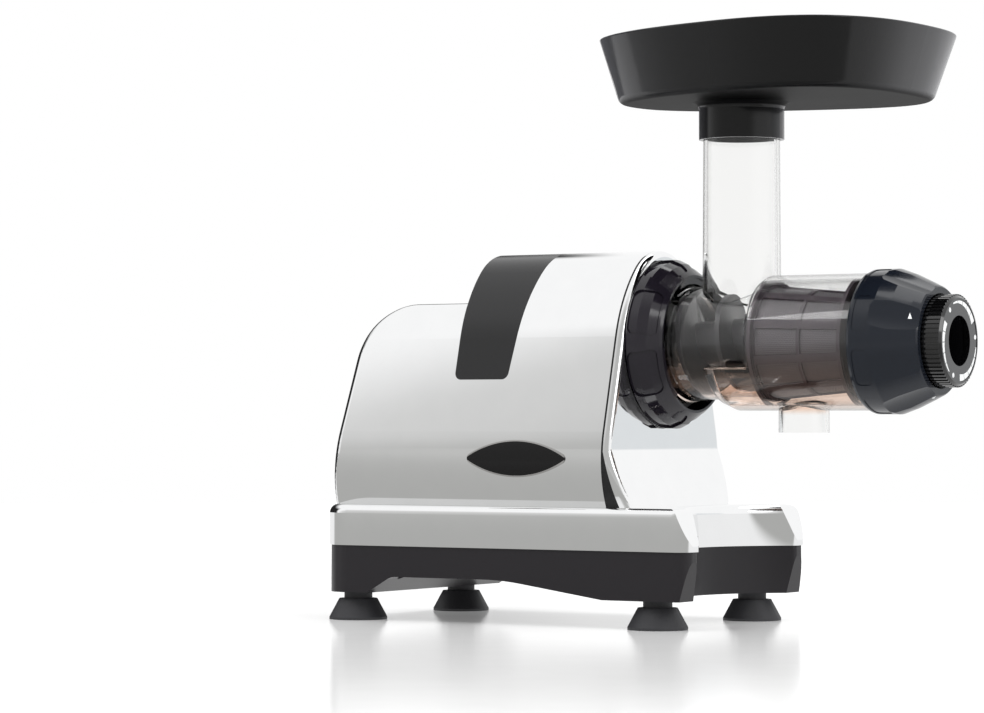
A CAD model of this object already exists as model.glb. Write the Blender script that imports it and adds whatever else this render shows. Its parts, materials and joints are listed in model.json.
"""Dresses the cold press juicer.

It gives every moulding its finish, prints the marks, and sets the floor, the room, the lamps and
the camera.
"""
import json
import math

import bmesh
import bpy
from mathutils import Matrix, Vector


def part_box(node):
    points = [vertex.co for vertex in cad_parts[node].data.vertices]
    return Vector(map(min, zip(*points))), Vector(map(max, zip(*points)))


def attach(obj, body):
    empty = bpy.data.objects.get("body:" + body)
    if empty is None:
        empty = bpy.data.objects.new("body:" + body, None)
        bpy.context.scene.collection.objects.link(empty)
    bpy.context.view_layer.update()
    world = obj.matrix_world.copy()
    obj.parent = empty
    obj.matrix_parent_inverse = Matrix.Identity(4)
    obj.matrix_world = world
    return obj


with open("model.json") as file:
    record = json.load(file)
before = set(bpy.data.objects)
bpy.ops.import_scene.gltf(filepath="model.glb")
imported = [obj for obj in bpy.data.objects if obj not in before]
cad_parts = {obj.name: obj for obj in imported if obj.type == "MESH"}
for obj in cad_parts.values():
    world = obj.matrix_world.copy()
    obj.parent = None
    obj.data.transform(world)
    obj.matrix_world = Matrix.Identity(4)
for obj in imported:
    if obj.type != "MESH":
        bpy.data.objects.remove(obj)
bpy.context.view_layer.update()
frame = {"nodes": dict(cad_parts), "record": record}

MM = 0.001

# --- Places on the juicer -----------------------------------------------------------------------

AXIS_Z = 188.7 * MM             # drum, cap, knob and auger share this axis
DECK_HEIGHT = 350.0 * MM        # underside of the hopper's tray
COLLAR_TOP = 347.5 * MM         # where the hopper's collar starts to widen into the tray
SHELL_MIDDLE = 165.0 * MM       # height from which the housing's plated sides bow away
SHELL_FOOT = 118.0 * MM         # below it they flare out again
COVER_MIDDLE = 85.0 * MM        # height from which the base cover bows away
WARM_FROM = (190.0 * MM, 160.0 * MM)    # the drum's lower wall grows warm between these heights
WARM_TO = (140.0 * MM, 146.0 * MM)      # and the spout below these isn't
BADGE_MIDDLE = (-66.75 * MM, 111.7 * MM)    # along, up
BADGE_ARC_RADIUS = 75.14 * MM   # of the two arcs that bound the badge
BADGE_ARC_DROP = 62.64 * MM     # its middle to the centre of either arc
BADGE_RIM = 1.1 * MM
BADGE_RIM_EDGE = 0.3 * MM

# --- Texture sizes, in lumps to the metre, and other shares of the finishes ---------------------

SLOW_DRIFT = 9.0                # colour and gloss wander over a moulding
FINE_GRAIN = 900.0              # skin of a mould
PLATING_SWELL = 14.0            # unevenness of plated plastic
PLATING_HAZE = 60.0
PLATING_SWELL_DEPTH = 0.03 * MM
LATHE_LINES = 600.0
HOLES_ALONG = 900.0             # rows of strainer holes to the metre
HOLES_ROUND = 88.0              # holes in a row
HOLE_DEPTH = 0.15 * MM
LEAST_GRAIN = 0.002             # millimetres
GLOSS_DRIFT = 0.05              # by which a moulding's roughness wanders
GLOSS_GRAIN = 0.03
EVEN = (1.0, 1.0, 1.0)


def grey(level):
    return (level, level, level, 1)


# --- Finishes -----------------------------------------------------------------------------------

class Wire:
    """The output of a shader node, which can be written in a formula."""

    def __init__(self, finish, socket):
        self.finish = finish
        self.socket = socket

    def maths(self, operation, *terms):
        return self.finish.add("Math", {"operation": operation}, dict(enumerate(terms)))

    def __add__(self, other):
        return self.maths("ADD", self, other)

    def __sub__(self, other):
        return self.maths("SUBTRACT", self, other)

    def __rsub__(self, other):
        return self.maths("SUBTRACT", other, self)

    def __mul__(self, other):
        return self.maths("MULTIPLY", self, other)

    def __pow__(self, other):
        return self.maths("POWER", self, other)

    __radd__ = __add__
    __rmul__ = __mul__

    def sine(self):
        return self.maths("SINE", self)

    def larger(self, other):
        return self.maths("MAXIMUM", self, other)

    def angle_from(self, other):
        """Turn of the point that is this far up and so far across, in radians."""
        return self.maths("ARCTAN2", self, other)

    def fade(self, low, high, out_low=0.0, out_high=1.0):
        """Goes smoothly from one value to another as this one goes from low to high."""
        return self.finish.add("MapRange", {"interpolation_type": "SMOOTHSTEP"},
                               {0: self, 1: low, 2: high, 3: out_low, 4: out_high})


def rgb(text):
    """Linear colour of a six-figure screen colour."""
    parts = [int(text[i:i + 2], 16) / 255 for i in (0, 2, 4)]
    linear = [p / 12.92 if p <= 0.04045 else ((p + 0.055) / 1.055) ** 2.4 for p in parts]
    return (*linear, 1.0)


def shade(text, share):
    """That colour made lighter or darker."""
    return (*(min(1.0, share * part) for part in rgb(text)[:3]), 1.0)


class Finish:
    """A material, or the sky, made from nodes."""

    def __init__(self, name, owner=None):
        self.owner = owner or bpy.data.materials.new(name)
        self.owner.use_nodes = True
        self.tree = self.owner.node_tree
        self.tree.nodes.clear()

    def add(self, kind, settings=None, inputs=None, take=0):
        """Adds a node: its settings first, then the values or links of its sockets.

        It gives the output that take names, or a list of them where take is a list.
        """
        node = self.tree.nodes.new("ShaderNode" + kind)
        for key, value in (settings or {}).items():
            setattr(node, key, value)
        for key, value in (inputs or {}).items():
            if isinstance(value, Wire):
                self.tree.links.new(value.socket, node.inputs[key])
            else:
                node.inputs[key].default_value = value
        if isinstance(take, list):
            return [Wire(self, node.outputs[output]) for output in take]
        return Wire(self, node.outputs[take]) if node.outputs else None

    def place(self):
        """The point on the part, in metres, which turns and slides with it."""
        return self.add("TexCoord", take="Object")

    def coordinates(self):
        return self.add("SeparateXYZ", inputs={0: self.place()}, take=[0, 1, 2])

    def noise(self, scale, detail=3.0, roughness=0.5, stretch=EVEN):
        """Soft random variation from 0 to 1, so many lumps to the metre."""
        where = self.add("Mapping", inputs={0: self.place(), 3: stretch})
        return self.add("TexNoise", inputs={"Vector": where, "Scale": scale, "Detail": detail,
                                            "Roughness": roughness})

    def facing(self, blend=0.5):
        """0 where the surface is seen flat on, 1 where it is seen edge on."""
        return self.add("LayerWeight", inputs={"Blend": blend}, take=1)

    def mix(self, factor, first, second):
        """One colour fading into another."""
        return self.add("Mix", {"data_type": "RGBA"}, {0: factor, 6: first, 7: second}, 2)

    def bump(self, height, distance, strength=1.0):
        """Small relief, so many metres deep."""
        return self.add("Bump", inputs={"Height": height, "Distance": distance,
                                        "Strength": strength})

    def plastic(self, **sockets):
        """The main shader; words in a socket's name are joined by a low line."""
        inputs = {key.replace("_", " "): value for key, value in sockets.items()}
        return self.add("BsdfPrincipled", inputs=inputs)

    def done(self, shader):
        self.add("OutputMaterial", inputs={0: shader})
        return self.owner


def moulded(name, colour, gloss, grain=LEAST_GRAIN, **constants):
    """Moulded plastic or rubber: its colour drifts a little, and its skin has a fine grain."""
    f = Finish(name)
    drift = f.noise(SLOW_DRIFT)
    skin = f.noise(FINE_GRAIN, 2.0)
    base = f.mix(drift, rgb(colour), shade(colour, 1.12))
    rough = drift * GLOSS_DRIFT + skin * GLOSS_GRAIN + (gloss - (GLOSS_DRIFT + GLOSS_GRAIN) / 2)
    relief = f.bump(skin, grain * MM)
    shader = f.plastic(Base_Color=base, Roughness=rough, Normal=relief, **constants)
    return f.done(shader)


def tray_gloss():
    """Black hopper plastic: polished on the tray's leaning wall and the collar, dull between."""
    f = Finish("hopper_black")
    drift = f.noise(SLOW_DRIFT)
    height = f.coordinates()[2]
    polished = height.fade(DECK_HEIGHT, DECK_HEIGHT + 4 * MM) \
        + height.fade(COLLAR_TOP, COLLAR_TOP - 1 * MM)
    base = f.mix((f.facing() ** 3.0) * polished, rgb("080809"), rgb("707075"))
    shader = f.plastic(Base_Color=base, Roughness=drift * GLOSS_DRIFT + 0.5,
                       Specular_IOR_Level=0.05,
                       Coat_Weight=polished * 0.7, Coat_Roughness=0.10,
                       Normal=f.bump(f.noise(FINE_GRAIN, 2.0), 0.004 * MM))
    return f.done(shader)


def metal(name, colour, roughness, stretch=EVEN, scale=LATHE_LINES):
    """Bare metal, with the fine lines of its machining along the stretched way."""
    f = Finish(name)
    lines = f.noise(scale, 2.0, 0.6, stretch)
    base = f.mix(lines, rgb(colour), shade(colour, 0.86))
    shader = f.plastic(Base_Color=base, Metallic=1.0, Roughness=lines * 0.12 + roughness,
                       Normal=f.bump(lines, 0.004 * MM))
    return f.done(shader)


def chrome(name, middle_height=0.0, bow_along=0.0, bow_up=0.0, foot=0.0, foot_flare=0.0):
    """Plated plastic: a mirror whose moulded faces may bow a little, along and up.

    Below the height called foot they flare out again.
    """
    f = Finish(name)
    swell = f.noise(PLATING_SWELL, 1.0, 0.3)
    haze = f.noise(PLATING_HAZE)
    along, _, height = f.coordinates()
    rise = height - middle_height
    low = (foot - height).larger(0.0)
    relief = swell * PLATING_SWELL_DEPTH - along * along * bow_along - rise * rise * bow_up
    relief = relief + low * low * foot_flare
    base = f.mix(haze, (0.90, 0.905, 0.91, 1), (0.94, 0.943, 0.945, 1))
    shader = f.plastic(Base_Color=base, Metallic=1.0, Roughness=haze * 0.03 + 0.035,
                       Normal=f.bump(relief, 1.0))
    return f.done(shader)


def clear_plastic():
    """Clear moulded drum and tube: grey where it is seen edge on, warm in the thick lower wall."""
    f = Finish("clear_drum")
    height = f.coordinates()[2]
    drift = f.noise(11.0)
    warmth = height.fade(*WARM_FROM) * height.fade(*WARM_TO)
    tint = f.mix(warmth, (0.96, 0.96, 0.955, 1), (0.91, 0.78, 0.70, 1))
    base = f.mix((f.facing(0.35) ** 3.0) * 0.8, tint, (0.42, 0.42, 0.41, 1))
    clear = f.plastic(Base_Color=base, Roughness=drift * 0.015 + 0.012, IOR=1.45,
                      Transmission_Weight=1.0, Normal=f.bump(f.noise(6.0, 1.0), 0.03 * MM, 0.5))
    edge = f.plastic(Base_Color=(0.20, 0.20, 0.195, 1), Roughness=drift * 0.02 + 0.10)
    edge_share = f.facing().fade(0.60, 0.95, 0.0, 0.65)
    return f.done(f.add("MixShader", inputs={0: edge_share, 1: clear, 2: edge}))


def tinted_plastic(name, colour, clear, gloss):
    """Dark see-through plastic of the locking ring."""
    f = Finish(name)
    drift = f.noise(16.0)
    base = f.mix(drift, rgb(colour), shade(colour, 1.35))
    shader = f.plastic(Base_Color=base, Roughness=drift * 0.04 + gloss, IOR=1.5,
                       Transmission_Weight=clear, Normal=f.bump(drift, 0.02 * MM, 0.5))
    return f.done(shader)


def strainer():
    """Steel strainer sheet pierced by rows of fine holes round the axis."""
    f = Finish("strainer_steel")
    along, across, height = f.coordinates()
    rows = (along * (2 * math.pi * HOLES_ALONG)).sine()
    columns = ((height - AXIS_Z).angle_from(across) * HOLES_ROUND).sine()
    hole = (rows * columns).fade(0.35, 0.6)
    base = f.mix(hole, rgb("7a7479"), rgb("2a2729"))
    shader = f.plastic(Base_Color=base, Metallic=0.3, Roughness=hole * 0.2 + 0.5,
                       Normal=f.bump(hole, -HOLE_DEPTH))
    return f.done(shader)


def badge_plate():
    """Black badge with a thin bright rim, inside the two arcs of its outline."""
    f = Finish("badge_black")
    along, _, height = f.coordinates()
    out = (along - BADGE_MIDDLE[0]) ** 2.0
    upper, lower = [(out + (height - BADGE_MIDDLE[1] + drop) ** 2.0) ** 0.5
                    for drop in (BADGE_ARC_DROP, -BADGE_ARC_DROP)]
    rim_start = BADGE_ARC_RADIUS - BADGE_RIM
    rim = upper.larger(lower).fade(rim_start, rim_start + BADGE_RIM_EDGE)
    base = f.mix(rim, rgb("0d0c0d"), rgb("c9c7c6"))
    shader = f.plastic(Base_Color=base, Metallic=rim, Roughness=f.noise(30.0) * 0.04 + 0.08,
                       Specular_IOR_Level=0.35, Normal=f.bump(rim, 0.08 * MM))
    return f.done(shader)


# One finish for each material slot of the record. A moulding's figures are its colour, its
# roughness and the depth of its grain in millimetres; a metal's are its colour and roughness.
FINISHES = {
    "chrome_plating": chrome("chrome_plating", SHELL_MIDDLE, 0.25, 1.2, SHELL_FOOT, 6.0),
    "dark_base": moulded("dark_base", "232124", 0.30, 0.02, Specular_IOR_Level=0.3),
    "foot_rubber": moulded("foot_rubber", "303033", 0.55, 0.05),
    "handle_band": moulded("handle_band", "181819", 0.20, 0.005, Specular_IOR_Level=0.5),
    "badge_black": badge_plate(),
    "black_gloss": moulded("black_gloss", "0e0e10", 0.14, Specular_IOR_Level=0.22),
    "seal_black": moulded("seal_black", "141415", 0.5, 0.04),
    "smoked_grey": tinted_plastic("smoked_grey", "1b181f", 0.12, 0.07),
    "clear_drum": clear_plastic(),
    "screen_grey": moulded("screen_grey", "625b60", 0.60, 0.02, Specular_IOR_Level=0.1),
    "strainer_steel": strainer(),
    "auger_grey": moulded("auger_grey", "2e2c30", 0.36, 0.02),
    "cap_slate": moulded("cap_slate", "161a22", 0.12, Specular_IOR_Level=0.45),
    "gear_nylon": moulded("gear_nylon", "d9d5c8", 0.42, 0.02),
    "gear_steel": metal("gear_steel", "a9abae", 0.24),
    "shaft_steel": metal("shaft_steel", "b9bbbd", 0.16, (0.05, 1.0, 1.0)),
    "gearbox_plastic": moulded("gearbox_plastic", "3a3b3e", 0.46, 0.03),
    "bush_bronze": metal("bush_bronze", "b08a55", 0.34),
    "fastener_steel": metal("fastener_steel", "9fa1a3", 0.28),
    "motor_aluminium": metal("motor_aluminium", "b5b7ba", 0.42),
    "motor_steel": metal("motor_steel", "8d9093", 0.34),
    "lamination_steel": metal("lamination_steel", "75777a", 0.45, (1.0, 0.05, 0.05), 2200.0),
    "winding_copper": metal("winding_copper", "a4562c", 0.30, (0.1, 1.0, 1.0), 1500.0),
    "fan_nylon": moulded("fan_nylon", "e4e2da", 0.40, 0.02),
    "capacitor_can": moulded("capacitor_can", "c9cac8", 0.38, 0.01),
}

# Nodes whose moulding needs a finish of its own, though the slot is shared.
OWN_FINISHES = {
    "base_cover": chrome("chrome_cover", COVER_MIDDLE, 0.1, 1.5),
    "front_bezel": chrome("chrome_bezel"),
    "hopper": tray_gloss(),
    "adjusting_knob": moulded("knob_black", "0a0a0b", 0.13, Coat_Weight=0.6),
}


def dress_nodes():
    """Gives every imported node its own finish, or that of its slot."""
    for entry in frame["record"]["subparts"]:
        node = frame["nodes"][entry["node"]]
        node.data.materials.clear()
        finish = OWN_FINISHES.get(entry["node"]) or FINISHES[entry["material_slot"]]
        node.data.materials.append(finish)
        for face in node.data.polygons:
            face.material_index = 0


# --- Printed marks ------------------------------------------------------------------------------

DIAL_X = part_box("adjusting_knob")[1].x - 0.28 * MM
DIAL_RADIUS = 26.0 * MM         # outer edge of the scales
INK_DEPTH = 0.10 * MM
SCALES = 3
FIRST_DOT = -36.5               # degrees round from the top
DOT_RADIUS = 1.6 * MM
DOT_INSET = 1.7 * MM            # outer edge of the scales to the middle of a dot
DOT_SIDES = 24
DOT_TO_SCALE = 15.0             # degrees
SCALE_SWEEP = 82.0              # degrees
SCALE_CELLS = 5
SCALE_START = 0.9               # its width in millimetres
SCALE_GROWTH = 3.6              # by which it is wider at its end
CELL_GAP = 1.2                  # degrees
CELL_STEPS = 6

MARK_LIFT = 0.12                # millimetres, off the cap and through its own thickness
SIDE_MARK = {"middle": (203.24, -33.48, 204.31), "outward": (0.38, -0.86, 0.34),
             "half_width": 1.3, "half_height": 2.1}
LOW_MARK = {"middle": (207.0, -5.2, 152.45), "outward": (0.44, -0.14, -0.89),
            "half_width": 1.2, "half_height": 1.5}


def piece(name, mesh_maker, finish, body):
    """Adds a piece from a bmesh, riding on a body of the frame."""
    mesh = bpy.data.meshes.new(name)
    bm = bmesh.new()
    mesh_maker(bm)
    bmesh.ops.recalc_face_normals(bm, faces=bm.faces)
    bm.to_mesh(mesh)
    bm.free()
    mesh.materials.append(finish)
    thing = bpy.data.objects.new(name, mesh)
    bpy.context.collection.objects.link(thing)
    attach(thing, body)


def plate(bm, outline, place, lift):
    """A thin plate: the outline's points go through place(), and are raised by lift."""
    low = [bm.verts.new(place(u, v, 0.0)) for u, v in outline]
    high = [bm.verts.new(place(u, v, lift)) for u, v in outline]
    bm.faces.new(high)
    bm.faces.new(low[::-1])
    count = len(outline)
    for i in range(count):
        j = (i + 1) % count
        bm.faces.new((low[i], low[j], high[j], high[i]))


def on_circle(radius, degrees):
    """Point so many degrees round the main axis: 0 is up, and it turns towards +Y."""
    turn = math.radians(degrees)
    return radius * math.sin(turn), radius * math.cos(turn)


def spread(start, end, steps):
    return [start + (end - start) * i / steps for i in range(steps + 1)]


def on_dial(u, v, lift):
    return Vector((DIAL_X + lift, u, AXIS_Z + v))


def scale_cell(start, end, width, end_width):
    """Outline of one cell: its outer edge lies on the dial's circle, and it widens inwards."""
    outer = [on_circle(DIAL_RADIUS, angle) for angle in spread(start, end, CELL_STEPS)]
    widths = spread(end_width, width, CELL_STEPS)
    inner = [on_circle(DIAL_RADIUS - deep, angle)
             for deep, angle in zip(widths, spread(end, start, CELL_STEPS))]
    return outer + inner


def dial_marks(bm):
    """Scales that thicken as they go round, each cut by thin lines, and a dot before each."""
    for scale in range(SCALES):
        dot_angle = FIRST_DOT + 360 / SCALES * scale
        widths = spread(SCALE_START * MM, (SCALE_START + SCALE_GROWTH) * MM, SCALE_CELLS)
        edges = spread(dot_angle + DOT_TO_SCALE, dot_angle + DOT_TO_SCALE + SCALE_SWEEP,
                       SCALE_CELLS)
        for cell in range(SCALE_CELLS):
            outline = scale_cell(edges[cell], edges[cell + 1] - CELL_GAP, widths[cell],
                                 widths[cell + 1])
            plate(bm, outline, on_dial, INK_DEPTH)
        across, up = on_circle(DIAL_RADIUS - DOT_INSET, dot_angle)
        corners = [on_circle(DOT_RADIUS, 360 / DOT_SIDES * side) for side in range(DOT_SIDES)]
        plate(bm, [(across + u, up + v) for u, v in corners], on_dial, INK_DEPTH)


def triangle(middle, outward, half_width, half_height):
    """A maker of a small printed triangle, point up, on a face that looks outward."""
    out = Vector(outward).normalized()
    up = (Vector((0, 0, 1)) - out * out.z).normalized()
    across = up.cross(out)
    corners = [(-half_width, -half_height), (half_width, -half_height), (0.0, half_height)]

    def place(u, v, lift):
        return (Vector(middle) + across * u + up * v + out * (lift + MARK_LIFT)) * MM

    return lambda bm: plate(bm, corners, place, MARK_LIFT)


PRINT_WHITE = moulded("print_white", "eef0f0", 0.35)
piece("dial_scale", dial_marks, PRINT_WHITE, "knob")
piece("lock_mark_side", triangle(**SIDE_MARK), PRINT_WHITE, "end_cap")
piece("lock_mark_low", triangle(**LOW_MARK), PRINT_WHITE, "end_cap")

dress_nodes()


# --- Floor, room, lamps and camera --------------------------------------------------------------

FLOOR_RADIUS = 3.4
FLOOR_WHITE = grey(0.80)
FLOOR_GLOW = (grey(0.15), grey(0.70))       # under the juicer, and far from it
FLOOR_GLOW_REACH = (0.45, 1.60)
# What polished faces see of the floor, at the rear, in front of the juicer, and far in front.
FLOOR_SEEN = (grey(0.90), (0.43, 0.43, 0.42, 1), (0.55, 0.55, 0.54, 1))
FLOOR_SEEN_FRONT = (-0.02, -0.12)
FLOOR_SEEN_FAR = (-0.25, -1.60)

WHITE = grey(1)
ROOM_DIFFUSE = grey(0.80)
BLACK_CARD = grey(0.02)
NEAR_SHADE = (0.50, 0.50, 0.49, 1)
NEAR_SIDE = (-0.30, -0.70)      # where the near side starts and is full, in a direction's depth
# The near side's shade comes in downwards in two steps: where each starts and is full, and its
# share.
SHADE_STEPS = [(1.20, 0.96, 0.65), (0.98, 0.50, 0.35)]
# Cards that polished faces mirror: a colour, and where it starts and is full in each part of a
# direction. Side runs along +X, depth along +Y and height along +Z.
CARDS = [
    (BLACK_CARD, [("side", -0.62, -0.74), ("depth", -0.35, -0.15), ("height", 0.60, 0.35)]),
    (BLACK_CARD, [("side", -0.500, -0.528), ("depth", 0.60, 0.75), ("height", 0.55, 0.35),
                  ("height", 0.09, 0.12)]),
    ((0.76, 0.785, 0.80, 1), [("side", 0.30, 0.50), ("depth", 0.30, 0.50),
                              ("height", 0.14, 0.05)]),
]

# Name: place, side of the square, power in watts, and whether polished faces mirror it.
LAMPS = {
    "key": ((-0.5, -1.5, 2.0), 1.0, 22.0, False),
    "fill": ((2.2, -0.6, 1.3), 1.0, 9.0, True),
    "top": ((0.1, 0.3, 2.0), 1.6, 14.0, True),
}
LAMP_TARGET = (0, 0, 0.2)

CAMERA_PLACE = (1.18755, -2.1076, 0.1396)
CAMERA_RISE = 0.971             # degrees above the level
CAMERA_TURN = 32.08             # degrees, from looking along +Y towards -X
CAMERA_LENS = 130.34            # millimetres
CAMERA_SENSOR = 36.0
CAMERA_REACH = 50.0


def floor():
    """Pale glossy floor, which glows a little more away from the juicer."""
    f = Finish("floor")
    mirrored_ray = f.add("LightPath", take="Is Glossy Ray")
    smear = f.noise(30.0)
    shader = f.plastic(Base_Color=FLOOR_WHITE, Roughness=smear * 0.02 + 0.15,
                       Specular_IOR_Level=0.5)
    along, depth, _ = f.coordinates()
    distance = (along * along + depth * depth) ** 0.5
    glow = f.add("Emission", inputs={0: f.mix(distance.fade(*FLOOR_GLOW_REACH), *FLOOR_GLOW),
                                     1: 1.0})
    total = f.add("AddShader", inputs={0: shader, 1: glow})
    rear, front, far = FLOOR_SEEN
    mirrored = f.mix(depth.fade(*FLOOR_SEEN_FRONT), rear, front)
    mirrored = f.mix(depth.fade(*FLOOR_SEEN_FAR), mirrored, far)
    plain = f.add("Emission", inputs={0: mirrored, 1: 1.0})
    f.done(f.add("MixShader", inputs={0: mirrored_ray, 1: total, 2: plain}))
    bm = bmesh.new()
    bmesh.ops.create_circle(bm, cap_ends=True, radius=FLOOR_RADIUS, segments=96)
    mesh = bpy.data.meshes.new("floor")
    bm.to_mesh(mesh)
    bm.free()
    mesh.materials.append(f.owner)
    thing = bpy.data.objects.new("floor", mesh)
    bpy.context.collection.objects.link(thing)


def sky():
    """White room. Polished faces see its near side greyer towards the ground, and its cards."""
    world = bpy.data.worlds.new("studio")
    bpy.context.scene.world = world
    f = Finish("studio", world)
    way = f.add("TexCoord", take="Generated")
    side, depth, height = f.add("SeparateXYZ", inputs={0: way}, take=[0, 1, 2])
    seen, sent_on, glossy = f.add("LightPath", take=["Is Camera Ray", "Is Transmission Ray",
                                                     "Is Glossy Ray"])
    level = height - side
    shaded = sum(level.fade(start, full) * share for start, full, share in SHADE_STEPS)
    room = f.mix(depth.fade(*NEAR_SIDE) * shaded, WHITE, NEAR_SHADE)
    parts = {"side": side, "depth": depth, "height": height}
    for colour, limits in CARDS:
        card = math.prod(parts[part].fade(start, full) for part, start, full in limits)
        room = f.mix(card, room, colour)
    colour = f.mix(seen + sent_on, f.mix(glossy, ROOM_DIFFUSE, room), WHITE)
    light = f.add("Background", inputs={0: colour, 1: 1.0})
    f.add("OutputWorld", inputs={0: light})


def lamp(name, place, width, power, mirrored):
    """Square soft light that looks at the juicer."""
    data = bpy.data.lights.new(name, "AREA")
    data.shape = "SQUARE"
    data.size = width
    data.energy = power
    thing = bpy.data.objects.new(name, data)
    thing.location = place
    thing.visible_glossy = mirrored
    aim = Vector(LAMP_TARGET) - Vector(place)
    thing.rotation_euler = aim.to_track_quat("-Z", "Y").to_euler()
    bpy.context.collection.objects.link(thing)


def camera():
    data = bpy.data.cameras.new("camera")
    data.lens = CAMERA_LENS
    data.sensor_width = CAMERA_SENSOR
    data.sensor_fit = "HORIZONTAL"
    data.clip_end = CAMERA_REACH
    eye = bpy.data.objects.new("camera", data)
    eye.location = CAMERA_PLACE
    eye.rotation_euler = (math.radians(90 + CAMERA_RISE), 0, math.radians(CAMERA_TURN))
    bpy.context.collection.objects.link(eye)
    bpy.context.scene.camera = eye


floor()
sky()
for name, settings in LAMPS.items():
    lamp(name, *settings)
camera()
bpy.context.scene.view_settings.view_transform = "Standard"
